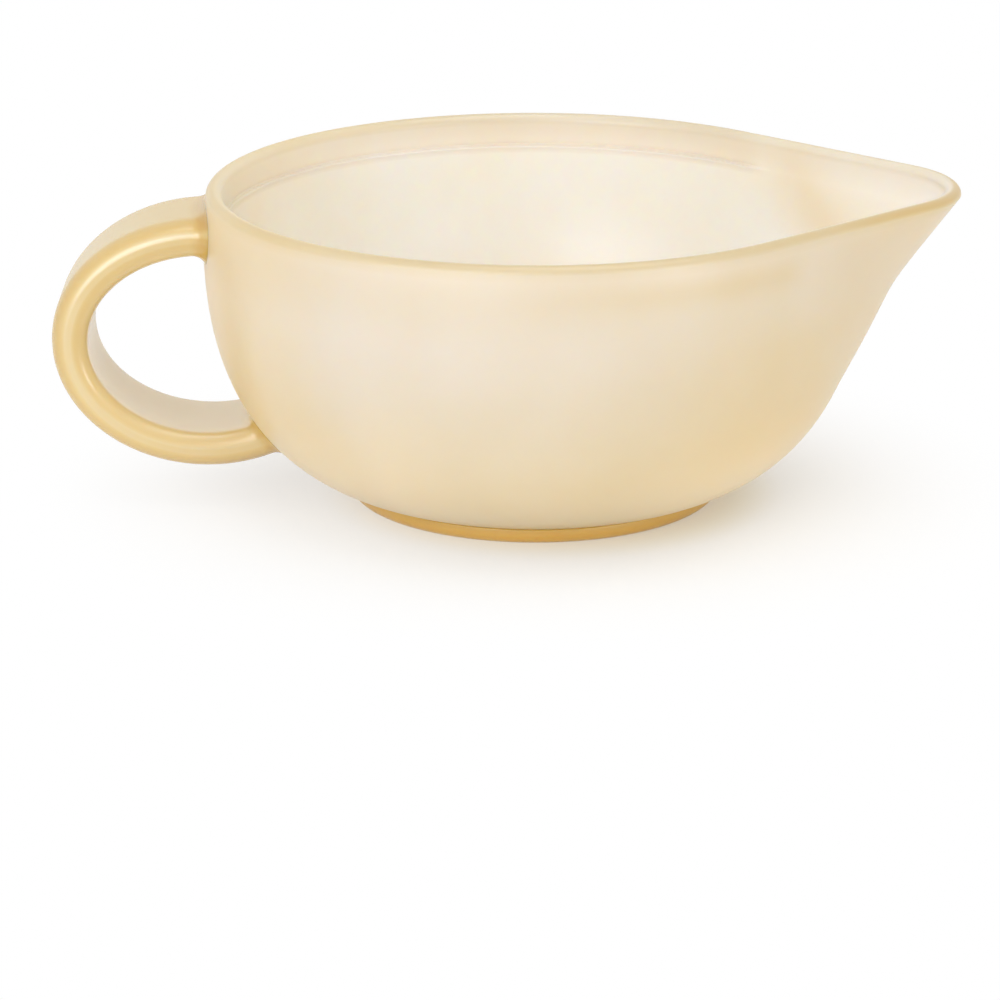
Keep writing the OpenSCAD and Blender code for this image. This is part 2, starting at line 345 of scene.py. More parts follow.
def lip_height(kit):
    """Height of the middle of the rounded lip."""
    return kit.bowl.height - kit.bowl.lip / 2


def floor_height(kit):
    """Height of the floor inside the bowl."""
    return recess_height(kit) + kit.bowl.floor_thickness


def recess_height(kit):
    """Height of the recess for the foot's boss."""
    return kit.foot.thickness + kit.foot.boss_height + kit.foot.boss_gap


def ledge_edge(kit):
    """Height where the ledge's rounded edge runs into the inner wall."""
    bowl = kit.bowl
    return bowl.height - bowl.ledge_depth - bowl.ledge_fall - bowl.ledge_round


def outer_curve(kit):
    """The outer wall from the foot to the lip, as radius and height."""
    bowl, foot = kit.bowl, kit.foot
    return [
        (foot.radius - foot.step, foot.thickness),
        (foot.radius + bowl.belly_reach, foot.thickness + bowl.belly_rise),
        (bowl.rim_radius + bowl.shoulder_swell, foot.thickness + bowl.shoulder_rise),
        (bowl.rim_radius, lip_height(kit)),
    ]


def inner_curve(kit):
    """The inner wall from the floor to the ledge, as radius and height."""
    bowl = kit.bowl
    low = floor_height(kit)
    return [
        (bowl.floor_radius, low),
        (bowl.floor_radius + bowl.fillet_reach, low),
        (bowl.rim_radius - bowl.wall + bowl.inner_swell, low + bowl.inner_rise),
        (bowl.rim_radius - bowl.wall, ledge_edge(kit)),
    ]


def wall_radius(kit, height):
    """Radius of the round outer wall at each height."""
    curve = bezier(outer_curve(kit), np.linspace(0, 1, CURVE_SAMPLES))
    return np.interp(height, curve[:, 1], curve[:, 0])


def rim_plan(kit, turn, inset):
    """Distance of the rim from the axis at each angle off the spout, drawn in by inset."""
    radius = kit.bowl.rim_radius - inset
    tip = kit.spout.tip_radius - inset
    centre = kit.bowl.rim_radius + kit.spout.reach - kit.spout.tip_radius
    leave = np.arccos((radius - tip) / centre)
    meet = np.arctan2(tip * np.sin(leave), centre + tip * np.cos(leave))
    off = np.abs(turn)
    nose = centre * np.cos(off) + np.sqrt(np.maximum(tip**2 - (centre * np.sin(off)) ** 2, 0))
    side = radius / np.cos(np.minimum(np.abs(off - leave), leave))
    return np.where(off < meet, nose, np.where(off < leave, side, radius))


def climb(height, start, top, soft):
    """How far up from start to top each height is, from 0 to 1, with a rounded start."""

    def ramp(rise):
        return (rise + np.sqrt(rise**2 + soft**2)) / 2

    return ramp(np.minimum(height, top) - start) / ramp(top - start)


def arch(kit, low, side, bend, turn):
    """Height where the flare or the fold starts at each angle, from the middle up to the lip."""
    return low + (lip_height(kit) - low) * np.minimum((np.abs(turn) / side) ** bend, ARCH_TOP)


def flare(kit, turn, height):
    """Part of the spout's reach that the wall has at each angle and height."""
    spout = kit.spout
    past_fold = spout.fold_reach / spout.reach
    top = lip_height(kit)
    low = arch(kit, spout.flare_height, spout.flare_angle, spout.flare_arch, turn)
    fold = arch(kit, spout.fold_height, spout.fold_angle, spout.fold_arch, turn)
    wide = climb(height, low, top, spout.crease_round) ** spout.flare_bend
    steep = climb(height, fold, top, spout.crease_round) ** spout.fold_bend
    return (1 - past_fold) * wide + past_fold * steep


def ledge_fade(kit, turn):
    """From 0 on the round wall to 1 in the spout, where the ledge has run out."""
    return smooth(kit.spout.flare_angle, kit.spout.ledge_end_angle, np.abs(turn))


def arc(centre, radius, start, end, steps):
    """Points of an arc in the section, its ends included, with angles in degrees."""
    turn = np.radians(np.linspace(start, end, steps + 1))
    return np.stack([centre[0] + radius * np.cos(turn), centre[1] + radius * np.sin(turn)], 1)


def bowl_rows(kit):
    """Rows of the bowl's section from the recess, up the outside, over the lip and down to the floor.

    Each row holds its radius and height, its inset from the outside, its fill in the spout, and its
    side, from 0 outside to 1 inside."""
    bowl, foot = kit.bowl, kit.foot
    rim, lip_z = bowl.rim_radius, lip_height(kit)
    ledge_z = bowl.height - bowl.ledge_depth
    inner = rim - bowl.lip
    recess = foot.boss_radius + foot.boss_gap
    under = [(recess, recess_height(kit)), (recess, foot.thickness)]
    outside = bezier(outer_curve(kit), np.linspace(0, 1, OUTER_STEPS + 1))
    lip = arc((rim - bowl.lip / 2, lip_z), bowl.lip / 2, 0, 180, LIP_STEPS)[1:]
    band = [(inner, z) for z in np.linspace(lip_z, ledge_z + bowl.ledge_cove, BAND_STEPS + 1)[1:]]
    cove_centre = (inner - bowl.ledge_cove, ledge_z + bowl.ledge_cove)
    cove = arc(cove_centre, bowl.ledge_cove, 0, -90, COVE_STEPS)[1:]
    edge_centre = (rim - bowl.wall + bowl.ledge_round, ledge_edge(kit))
    edge = arc(edge_centre, bowl.ledge_round, 90, 180, EDGE_STEPS)
    inside = bezier(inner_curve(kit), np.linspace(1, 0, INNER_STEPS + 1))[1:]
    floor_rings = range(FLOOR_STEPS - 1, 0, -1)
    floor = [(bowl.floor_radius * k / FLOOR_STEPS, floor_height(kit)) for k in floor_rings]
    rows = []
    # Each part with its inset, fill and side, or None where these change from row to row
    for part, inset, fill, side in (
        (under, 0, 0, 0),
        (outside, 0, 0, 0),
        (lip, None, 0, None),
        (band, bowl.lip, 0, 1),
        (cove, bowl.lip, 1, 1),
        (edge, bowl.lip, 1, 1),
        (inside, bowl.lip, None, 1),
        (floor, bowl.lip, 0, 1),
    ):
        for k, (radius, height) in enumerate(part):
            row_inset = rim - radius if inset is None else inset
            if fill is None:
                row_fill = (bowl.wall - bowl.lip) * (1 - (k + 1) / len(part))
            else:
                row_fill = fill * (inner - radius)
            row_side = (rim - radius) / bowl.lip if side is None else side
            rows.append((radius, height, row_inset, row_fill, row_side))
    return np.array(rows)


def column_turns(kit):
    """Angles of the bowl's columns, closer together at the spout."""
    turn = np.linspace(0, 2 * math.pi, kit.bowl.columns, endpoint=False)
    turn = turn - kit.bowl.column_pull * np.sin(turn)
    return np.where(turn > math.pi, turn - 2 * math.pi, turn)


def bowl_grid(kit):
    """Points of the bowl, one row of columns for each row of its section."""
    rows = bowl_rows(kit)
    turn = column_turns(kit)
    fade = ledge_fade(kit, turn)
    grid = []
    for radius, height, inset, fill, _ in rows:
        reach = rim_plan(kit, turn, inset) - (kit.bowl.rim_radius - inset)
        rho = radius + reach * flare(kit, turn, np.full_like(turn, height)) + fill * fade
        grid.append(np.stack([rho * np.cos(turn), rho * np.sin(turn), np.full_like(turn, height)], 1))
    return np.array(grid)


# Curves of the handle


def strap_section():
    """Directions round the strap's section, with the side and the face that each point belongs to."""
    points = []
    for corner in range(4):
        side = math.copysign(1, math.cos(math.radians(90 * corner + 45)))
        face = math.copysign(1, math.sin(math.radians(90 * corner + 45)))
        for k in range(CORNER_STEPS + 1):
            turn = math.radians(90 * (corner + k / CORNER_STEPS))
            points.append((math.cos(turn), math.sin(turn), side, face))
        if corner % 2 == 0:
            for k in range(1, CORNER_STEPS):
                points.append((0, face, side * (1 - 2 * k / CORNER_STEPS), face))
    return np.array(points)


def strap_middle(kit):
    """Height of the middle of the strap's ellipse."""
    return (kit.bowl.height - kit.handle.drop + kit.handle.lift) / 2


def strap_points(kit, section, turn, grow=0.0, part=1.0):
    """Points of the strap at each angle of its ellipse, the section grown and then drawn in."""
    bowl, strap = kit.bowl, kit.handle
    half_length = strap.reach - strap.thickness / 2
    half_height = (bowl.height - strap.drop - strap.lift - strap.thickness) / 2
    width = strap.width + (strap.end_width - strap.width) * np.cos(turn) ** 2
    across, outward, side, face = section.T
    rounding = np.where(face > 0, strap.outer_round, strap.inner_round)
    along = part * (side * (width / 2 - rounding) + across * (rounding + grow))
    out = part * (face * (strap.thickness / 2 - strap.corner) + outward * (strap.corner + grow))
    normal = np.stack([np.cos(turn) / half_length, np.sin(turn) / half_height], 1)
    normal /= np.linalg.norm(normal, axis=1)[:, None]
    x = -bowl.rim_radius + half_length * np.cos(turn) + out * normal[:, 0]
    z = strap_middle(kit) + half_height * np.sin(turn) + out * normal[:, 1]
    return np.stack([x, along, z], 1)


def wall_turns(kit, section, inside, grow, part, stand):
    """Angles of the strap's ellipse where each point of the section stands off the bowl's wall."""
    outside = np.full(len(section), math.pi)
    within = np.full(len(section), inside)
    for _ in range(HALVINGS):
        turn = (outside + within) / 2
        p = strap_points(kit, section, turn, grow, part)
        clear = np.hypot(p[:, 0], p[:, 1]) - wall_radius(kit, p[:, 2]) > stand - kit.handle.sink
        outside = np.where(clear, turn, outside)
        within = np.where(clear, within, turn)
    return (outside + within) / 2


def root_rings(kit, section, inside):
    """Rings of one of the strap's ends, from its middle to its edge and up its fillet."""
    root = kit.handle.root
    steps = [(root, part, 0.0) for part in ROOT_SHARES]
    steps += [
        (root * (1 - math.sin(u)), 1.0, root * (1 - math.cos(u)))
        for u in np.radians(np.linspace(0, 90, FILLET_STEPS + 1))
    ]
    return [
        strap_points(kit, section, wall_turns(kit, section, inside, grow, part, stand), grow, part)
        for grow, part, stand in steps
    ]


def handle_grid(kit):
    """Rings of the strap from its low end round to its top end."""
    section = strap_section()
    low_in, top_in = math.radians(360 - INSIDE_ANGLE), math.radians(INSIDE_ANGLE)
    low = wall_turns(kit, section, low_in, 0.0, 1.0, kit.handle.root)
    top = wall_turns(kit, section, top_in, 0.0, 1.0, kit.handle.root)
    turns = [low + (top - low) * k / STRAP_STEPS for k in range(1, STRAP_STEPS)]
    loop = [strap_points(kit, section, turn) for turn in turns]
    return np.array(root_rings(kit, section, low_in) + loop + root_rings(kit, section, top_in)[::-1])


def foot_grid(kit):
    """Rings of the foot, from its underside round its edges and up to its boss."""
    foot = kit.foot
    low_edge = arc((foot.radius - foot.edge, foot.edge), foot.edge, -90, 0, FOOT_LOW_STEPS)
    top_centre = (foot.radius - foot.top_edge, foot.thickness - foot.top_edge)
    top_edge = arc(top_centre, foot.top_edge, 0, 90, FOOT_TOP_STEPS)
    under = [((foot.radius - foot.edge) * k / FOOT_STEPS, 0.0) for k in range(1, FOOT_STEPS)]
    top = foot.thickness + foot.boss_height
    boss = [(foot.boss_radius, foot.thickness), (foot.boss_radius, top), (foot.boss_radius / 2, top)]
    turn = np.linspace(0, 2 * math.pi, FOOT_SIDES, endpoint=False)
    return np.array([
        np.stack([radius * np.cos(turn), radius * np.sin(turn), np.full_like(turn, height)], 1)
        for radius, height in [*under, *low_edge, *top_edge, *boss]
    ])


# Meshes


def add_object(name, data):
    """A new object in the scene."""
    thing = bpy.data.objects.new(name, data)
    bpy.context.scene.collection.objects.link(thing)
    return thing


def grid_piece(name, grid):
    """A closed smooth mesh over rings of points, with a middle point at each end."""
    rings, sides, _ = grid.shape
    points = np.concatenate([grid.reshape(-1, 3), grid[:1].mean(1), grid[-1:].mean(1)])
    first, last = rings * sides, rings * sides + 1
    faces = []
    for i in range(sides):
        n = (i + 1) % sides
        faces.append((first, n, i))
        faces.append((last, (rings - 1) * sides + i, (rings - 1) * sides + n))
        for j in range(rings - 1):
            a, b = j * sides, (j + 1) * sides
            faces.append((a + i, a + n, b + n, b + i))
    mesh = bpy.data.meshes.new(name)
    mesh.from_pydata(points.tolist(), [], faces)
    mesh.validate()
    mesh.polygons.foreach_set("use_smooth", [True] * len(mesh.polygons))
    mesh.set_sharp_from_angle(angle=SHARP_ANGLE)
    mesh.update()
    return add_object(name, mesh)


def rubber_thickness(piece, grid, limit):
    """Thickness of the rubber behind each point of the grid, measured by a ray and smoothed."""
    mesh = piece.data
    tree = BVHTree.FromPolygons([v.co for v in mesh.vertices], [p.vertices[:] for p in mesh.polygons])
    rings, sides, _ = grid.shape
    depth = np.full(rings * sides, limit)
    for k in range(rings * sides):
        normal = mesh.vertices[k].normal
        hit = tree.ray_cast(mesh.vertices[k].co - normal * RAY_START, -normal)
        if hit[3] is not None:
            depth[k] = min(hit[3], limit)
    depth = depth.reshape(rings, sides)
    for _ in range(SMOOTH_PASSES):
        depth = (depth + np.roll(depth, 1, 1) + np.roll(depth, -1, 1)) / 3
        padded = np.pad(depth, ((1, 1), (0, 0)), mode="edge")
        depth = (padded[:-2] + padded[1:-1] + padded[2:]) / 3
    return depth


# Masks of the tint, several of which are painted light and shade: where each one starts and where it is
# full

# Heights above the table
BELLY_HEIGHTS = (44 * MM, 4 * MM)
BASE_HEIGHTS = (34 * MM, 8 * MM)
WALL_HEIGHTS = (6 * MM, 24 * MM)
MIDDLE_HEIGHTS = (36 * MM, 48 * MM)
UPPER_HEIGHTS = (38 * MM, 54 * MM)
SHOULDER_HEIGHTS = (42 * MM, 54 * MM)
LOW_ENDS_HEIGHTS = (50 * MM, 14 * MM)
SPOUT_PALE_HEIGHTS = (26 * MM, 40 * MM)
CLEAR_HEIGHTS = (24 * MM, 40 * MM)
CHANNEL_HEIGHTS = (36 * MM, 46 * MM)
END_HEIGHTS = (30 * MM, 44 * MM)
LOW_INSIDE_HEIGHTS = (34 * MM, 20 * MM)
FLOOR_HEIGHTS = (13 * MM, 7 * MM)
UNDERSIDE_HEIGHTS = (1.2 * MM, 0)
# Heights above the middle of the lip
LIP_RISE = (-0.6 * MM, 0.7 * MM)
OUTER_LIP_RISE = (-0.3 * MM, 0.9 * MM)
# Heights above the ledge
BAND_RISE = (-0.5 * MM, 0.5 * MM)
# Cosines of the angle off the spout, from 1 at its tip to -1 at the handle
TIP_TURNS = (0.85, 0.99)
CHANNEL_TURNS = (0.7, 0.9)
SPOUT_LIP_TURNS = (0.6, 0.85)
CLEAR_TURNS = (0.5, 0.8)
SPOUT_PALE_TURNS = (0.3, 0.8)
SPOUT_TURNS = (0.0, 0.9)
SPOUT_SIDE_TURNS = (0.95, 0.75)
LEDGE_TURNS = (-0.2, 0.6)
LOW_ENDS_TURNS = (0.2, 0.8)
BACK_LIP_TURNS = (0.1, -0.6)
HANDLE_LIP_TURNS = (-0.3, -0.7)
BY_HANDLE_TURNS = (-0.3, -0.95)
HANDLE_TURNS = (-0.5, -1.0)
END_TURNS = (-0.85, -1.0)
PAST_HANDLE_TURNS = (-1.0, -0.75)
UNDER_LIP_HIGHLIGHT_TURNS = ((0.5, -0.1), (-0.9, -0.5))
FLANK_SHADE_TURNS = ((-0.45, -0.65), (-1.0, -0.85))
# Sides, from 0 outside to 1 inside
OUTER_LIP_SIDES = (0.6, 0.35)
SPOUT_LIP_SIDES = (0.4, 0.7)
# Parts of a direction on the strap's section that point to its sides
STRAP_SIDES = (0.05, 0.4)
# Parts of a direction on the strap's section that point out of the loop, over which the painted shade
# towards the outer face and the painted light at the inner edge grow
STRAP_OUTER_PAINTED_SHADE = (0.35, 0.75)
STRAP_INNER_PAINTED_LIGHT = (-0.3, -0.8)
# Distances of the strap from the bowl's wall
ROOT_CLEAR = (3.0 * MM, 0.5 * MM)

# Lines of the tint: the middle, as a height above the ledge, the lip or the fold, and the width
LEDGE_GLOW = (0, 2.5 * MM)
# Painted shade: the darker line along the ledge inside
LEDGE_SHADE_LINE = (-0.4 * MM, 0.7 * MM)
# Painted highlight: the pale line just under the lip
UNDER_LIP_HIGHLIGHT_LINE = (-0.5 * MM, 0.6 * MM)
# Painted shade along the spout's fold
FOLD_SHADE_LINE = (-2 * MM, 8 * MM)
# The strap's painted highlight, a paler ribbon along its sides: its middle and width on the section, and
# how far it leans out on top of the loop
PAINTED_HIGHLIGHT_LINE = (0.05, 0.2)
PAINTED_HIGHLIGHT_LEAN = 0.2
# Angles, in radians, by which the fold's painted shade starts outside the flare and is full inside the fold
FLARE_SPREAD = 0.2
FOLD_SPREAD = 0.1
# Half width of the soft edge over the foot's boss, and how far above the floor that tint reaches
BOSS_BLEND = 3 * MM
FLOOR_REACH = 1 * MM

# Shares by which a mask weakens the depth of the colour
# Painted light: less depth of colour inside the bowl
INSIDE_PAINTED_LIGHT = 0.5
SPOUT_CLEAR = 0.3
HANDLE_CLEAR = 0.7
UPPER_CLEAR = 0.5
MIDDLE_CLEAR = 0.3
# Share of the ledge's depth that shows inside, and of the floor's depth that reaches up the wall
LEDGE_INSIDE = 0.5
FLOOR_SPREAD = 0.3
# Deeper colour of the inside behind the handle
END_DEPTH = 0.12
# Paleness that a mask adds, or takes away on the flanks by the handle
SPOUT_PALE = 0.12
# Painted light: paler rubber low on the bowl, against the shade just above the foot
BASE_PAINTED_LIGHT = 0.14
# Painted highlight: paleness of the line just under the lip at the front
UNDER_LIP_PAINTED_HIGHLIGHT = 0.1
# Painted shade: duller rubber on the flanks by the handle, where the lamps light the wall strongly
FLANK_PAINTED_SHADE = 0.11
# Shares of the paleness that a mask takes away
BAND_DULL = 0.1
CHANNEL_DULL = 0.15
LIP_DULL = 0.5
OUTER_LIP_DULL = 0.3
# Painted shade in the ledge's corner, inside the bowl
LEDGE_PAINTED_SHADE = 0.5
# Dullness of the lip that the spout and the handle's end go without
SPOUT_LIP_CLEAR = 0.4
HANDLE_LIP_CLEAR = 0.25


def on_line(middle, width, value):
    """1 at the middle of a line, and less away from there, over about its width."""
    return np.exp(-(((value - middle) / width) ** 2))


def between(ends, value):
    """1 between two soft ends, and 0 past them."""
    first, second = ends
    return smooth(*first, value) * smooth(*second, value)


class BowlPlaces:
    """Where the points of the bowl's grid lie, and the masks that several of its tints share."""

    def __init__(self, kit, grid):
        x, y, self.z = np.moveaxis(grid, -1, 0)
        self.radius = np.hypot(x, y)
        self.turn = np.arctan2(y, x)
        self.ahead = np.cos(self.turn)
        self.side = np.broadcast_to(bowl_rows(kit)[:, -1:], self.z.shape)
        self.off_lip = self.z - lip_height(kit)
        self.off_ledge = self.z - kit.bowl.height + kit.bowl.ledge_depth
        self.ledge = 1 - ledge_fade(kit, self.turn)
        self.lip = smooth(*LIP_RISE, self.off_lip)
        self.outer_lip = smooth(*OUTER_LIP_RISE, self.off_lip) * smooth(*OUTER_LIP_SIDES, self.side)
        self.band = smooth(*BAND_RISE, self.off_ledge) * self.ledge
        self.channel = smooth(*CHANNEL_TURNS, self.ahead) * smooth(*CHANNEL_HEIGHTS, self.z)


def thickness_depth(kit, at, thickness):
    """Depth of colour that the rubber's thickness gives, less of it inside."""
    look, foot = kit.rubber, kit.foot
    over_boss = smooth(foot.boss_radius + BOSS_BLEND, foot.boss_radius - BOSS_BLEND, at.radius)
    over_boss = over_boss * (at.z < floor_height(kit) + FLOOR_REACH)
    thickness = thickness + over_boss * foot.thickness
    depth = np.maximum(thickness - look.depth_start, 0) / look.depth_length
    spout = smooth(*CLEAR_TURNS, at.ahead) * smooth(*CLEAR_HEIGHTS, at.z)
    # Less depth inside: painted light, for the light that comes through the walls
    return depth * (1 - at.side * (INSIDE_PAINTED_LIGHT + SPOUT_CLEAR * spout))


def lip_depth(kit, at):
    """Deeper colour along the lip."""
    look = kit.rubber
    amber = np.maximum(at.outer_lip, at.lip * smooth(*BACK_LIP_TURNS, at.ahead))
    depth = look.lip_depth * amber * smooth(*PAST_HANDLE_TURNS, at.ahead)
    return depth + look.spout_lip_depth * at.outer_lip * smooth(*TIP_TURNS, at.ahead)


def handle_depth(kit, at):
    """Deeper colour of the wall towards the handle, less of it inside."""
    towards = smooth(*HANDLE_TURNS, at.ahead) * smooth(*WALL_HEIGHTS, at.z)
    return kit.rubber.handle_depth * (1 - HANDLE_CLEAR * at.side) * towards


def outside_depth(kit, at):
    """Depth of colour of the bowl's outside."""
    look = kit.rubber
    depth = look.wall_depth + look.belly_depth * smooth(*BELLY_HEIGHTS, at.z)
    depth += look.shoulder_depth * smooth(*SHOULDER_HEIGHTS, at.z)
    middle = smooth(*MIDDLE_HEIGHTS, at.z) * smooth(*SPOUT_SIDE_TURNS, at.ahead)
    clear = UPPER_CLEAR * smooth(*UPPER_HEIGHTS, at.z) + MIDDLE_CLEAR * middle
    # Painted shade on the spout's side of the wall, less of it high up
    spout = smooth(*SPOUT_TURNS, at.ahead) * smooth(*WALL_HEIGHTS, at.z)
    depth += look.spout_side_painted_shade * spout * (1 - clear)
    ledge = on_line(*LEDGE_GLOW, at.off_ledge) * at.ledge
    return depth + look.ledge_depth * ledge * smooth(*LEDGE_TURNS, at.ahead)


def inside_depth(kit, at):
    """Depth of colour of the bowl's inside."""
    look, spout = kit.rubber, kit.spout
    fold_height = arch(kit, spout.fold_height, spout.fold_angle, spout.fold_arch, at.turn)
    beside = smooth(spout.flare_angle + FLARE_SPREAD, spout.fold_angle - FOLD_SPREAD, np.abs(at.turn))
    # Painted shade between the flare and the fold, inside the spout
    depth = look.fold_painted_shade * on_line(*FOLD_SHADE_LINE, at.z - fold_height) * beside
    low = smooth(*LOW_INSIDE_HEIGHTS, at.z)
    floor = smooth(*FLOOR_HEIGHTS, at.z)
    depth += look.floor_depth * (FLOOR_SPREAD * low + (1 - FLOOR_SPREAD) * floor)
    depth += look.ledge_depth * LEDGE_INSIDE * at.band
    depth += look.channel_depth * at.channel
    return depth + END_DEPTH * smooth(*END_TURNS, at.ahead) * smooth(*END_HEIGHTS, at.z)


def bowl_pale(kit, at):
    """How pale the bowl's thin rubber is, from 0 for the lip's colour to 1 for the inside's."""
    look, bowl = kit.rubber, kit.bowl
    # Painted light on the shaded wall low at both ends and towards the handle
    low_ends_painted_light = smooth(*LOW_ENDS_HEIGHTS, at.z) * smooth(*LOW_ENDS_TURNS, np.abs(at.ahead))
    pale = look.wall_pale + look.side_painted_light * np.maximum(smooth(*BY_HANDLE_TURNS, at.ahead), low_ends_painted_light)
    pale += SPOUT_PALE * smooth(*SPOUT_PALE_TURNS, at.ahead) * smooth(*SPOUT_PALE_HEIGHTS, at.z)
    # Painted light low on the bowl, near the base
    pale += BASE_PAINTED_LIGHT * smooth(*BASE_HEIGHTS, at.z)
    # Painted light: inside the bowl, below the lip, the rubber takes the inside's pale colour
    pale += (1 - pale) * at.side * np.clip((bowl.height - at.z) / bowl.ledge_depth, 0, 1)
    # Painted highlight: a pale line just under the lip at the front
    under_lip_highlight = on_line(*UNDER_LIP_HIGHLIGHT_LINE, at.off_lip) * between(UNDER_LIP_HIGHLIGHT_TURNS, at.ahead)
    # Painted shade on the flanks by the handle
    pale += (1 - at.side) * (UNDER_LIP_PAINTED_HIGHLIGHT * under_lip_highlight - FLANK_PAINTED_SHADE * between(FLANK_SHADE_TURNS, at.ahead))
    pale *= 1 - at.side * np.maximum(BAND_DULL * at.band, CHANNEL_DULL * at.channel)
    clear = SPOUT_LIP_CLEAR * smooth(*SPOUT_LIP_TURNS, at.ahead) * smooth(*SPOUT_LIP_SIDES, at.side)
    clear += HANDLE_LIP_CLEAR * smooth(*HANDLE_LIP_TURNS, at.ahead)
    pale *= 1 - (LIP_DULL - clear + OUTER_LIP_DULL * at.outer_lip) * at.lip
    # Painted shade: a duller line along the ledge inside
    return pale * (1 - LEDGE_PAINTED_SHADE * at.side * on_line(*LEDGE_SHADE_LINE, at.off_ledge) * at.ledge)


def bowl_depth(kit, grid, thickness):
    """Depth and paleness of the bowl's colour at each point of its grid."""
    at = BowlPlaces(kit, grid)
    depth = thickness_depth(kit, at, thickness) + lip_depth(kit, at) + handle_depth(kit, at)
    depth += (1 - at.side) * outside_depth(kit, at) + at.side * inside_depth(kit, at)
    return depth, bowl_pale(kit, at)


def strap_depth(kit, grid):
    """Depth and paleness of the strap's colour at each point of its grid."""
    look = kit.rubber
    across, out, _, _ = strap_section().T
    side = smooth(*STRAP_SIDES, np.abs(across))
    inner = (1 - side) * (out < 0)
    outer = (1 - side) * (out > 0)
    # Painted shade towards the outer face, less painted depth (painted light) at the shaded inner edge
    edge = smooth(*STRAP_OUTER_PAINTED_SHADE, out) - smooth(*STRAP_INNER_PAINTED_LIGHT, out)
    middle = strap_middle(kit)
    lean = np.clip((grid[..., 2] - middle) / (kit.bowl.height - kit.handle.drop - middle), -1, 1)
    # Painted highlight along the strap's sides, leaning out and growing stronger on top of the loop
    painted_highlight = on_line(*PAINTED_HIGHLIGHT_LINE, out - PAINTED_HIGHLIGHT_LEAN * lean)
    painted_highlight *= look.strap_painted_highlight * (1 + look.strap_painted_highlight_top * np.maximum(lean, 0))
    depth = side * (look.strap_side_depth + look.strap_painted_shade_and_light * edge - painted_highlight)
    # Painted shade on the outer face against its sheen, and painted light on the inner face against its
    # shade
    depth += inner * look.strap_inner_painted_light_depth + outer * look.strap_depth
    # Painted shade in the crease at the strap's roots, with the deeper colour of the thicker fillet
    clear = np.hypot(grid[..., 0], grid[..., 1]) - wall_radius(kit, grid[..., 2])
    root = smooth(*ROOT_CLEAR, clear)
    # The inner face also takes the inside's pale colour, as painted light
    return depth + look.root_depth_and_crease_shade * root, np.broadcast_to(inner, root.shape)


def set_layer(piece, name, values):
    """Keeps a value for each point of a piece's grid, and their means for its two middle points."""
    flat = values.reshape(-1)
    ends = [values[0].mean(), values[-1].mean()]
    layer = piece.data.attributes.new(name, "FLOAT", "POINT")
    layer.data.foreach_set("value", np.concatenate([flat, ends]).astype(np.float32))


# Materials


def new_group(name, inputs, outputs):
    """An empty shader group with its named sockets, and its two end nodes."""
    group = bpy.data.node_groups.new(name, "ShaderNodeTree")
    for kind, title, default in inputs:
        socket = group.interface.new_socket(name=title, in_out="INPUT", socket_type=kind)
        socket.default_value = default
    for kind, title in outputs:
        group.interface.new_socket(name=title, in_out="OUTPUT", socket_type=kind)
    return group, group.nodes.new("NodeGroupInput"), group.nodes.new("NodeGroupOutput")


def math_node(tree, operation, *values, clamp=False):
    """A math node fed by sockets or plain numbers, and its output."""
    node = tree.nodes.new("ShaderNodeMath")
    node.operation = operation
    node.use_clamp = clamp
    for socket, value in zip(node.inputs, values):
        if isinstance(value, (int, float)):
            socket.default_value = value
        else:
            tree.links.new(value, socket)
    return node.outputs[0]


def noise_node(tree, scale, detail, roughness):
    """A noise texture over the object's own coordinates, and its value."""
    where = tree.nodes.new("ShaderNodeTexCoord")
    noise = tree.nodes.new("ShaderNodeTexNoise")
    noise.inputs["Scale"].default_value = scale
    noise.inputs["Detail"].default_value = detail
    noise.inputs["Roughness"].default_value = roughness
    tree.links.new(where.outputs["Object"], noise.inputs["Vector"])
    return noise.outputs["Fac"]


def attribute_node(tree, name):
    """The value that a mesh attribute holds."""
    node = tree.nodes.new("ShaderNodeAttribute")
    node.attribute_name = name
    return node.outputs["Fac"]


def mix_colours(tree, factor, first, second):
    """A colour that goes from the first to the second while a factor goes from 0 to 1."""
    mix = tree.nodes.new("ShaderNodeMix")
    mix.data_type = "RGBA"
    mix.inputs["A"].default_value = (*first, 1)
    mix.inputs["B"].default_value = (*second, 1)
    tree.links.new(factor, mix.inputs["Factor"])
    return mix.outputs["Result"]


def rubber_tint_group():
    """Colour of the rubber, which soaks light up with depth, with a slow cloudy drift."""
    name = "Rubber tint"
    if name in bpy.data.node_groups:
        return bpy.data.node_groups[name]
    group, source, sink = new_group(
        name,
        [
            ("NodeSocketColor", "Thin", (1, 1, 1, 1)),
            ("NodeSocketColor", "Soak", (1, 1, 1, 1)),
            ("NodeSocketFloat", "Depth", 0.0),
            ("NodeSocketFloat", "Cloud", 0.0),
        ],
        [("NodeSocketColor", "Colour")],
    )
    drift = math_node(group, "SUBTRACT", noise_node(group, *CLOUD_NOISE), NOISE_MEAN)
    drift = math_node(group, "MULTIPLY", drift, source.outputs["Cloud"])
    soak = group.nodes.new("ShaderNodeGamma")
    group.links.new(source.outputs["Soak"], soak.inputs["Color"])
    group.links.new(math_node(group, "ADD", source.outputs["Depth"], drift), soak.inputs["Gamma"])
    mix = group.nodes.new("ShaderNodeMix")
    mix.data_type = "RGBA"
    mix.blend_type = "MULTIPLY"
    mix.inputs["Factor"].default_value = 1.0
    group.links.new(source.outputs["Thin"], mix.inputs["A"])
    group.links.new(soak.outputs["Color"], mix.inputs["B"])
    group.links.new(mix.outputs["Result"], sink.inputs["Colour"])
    return group


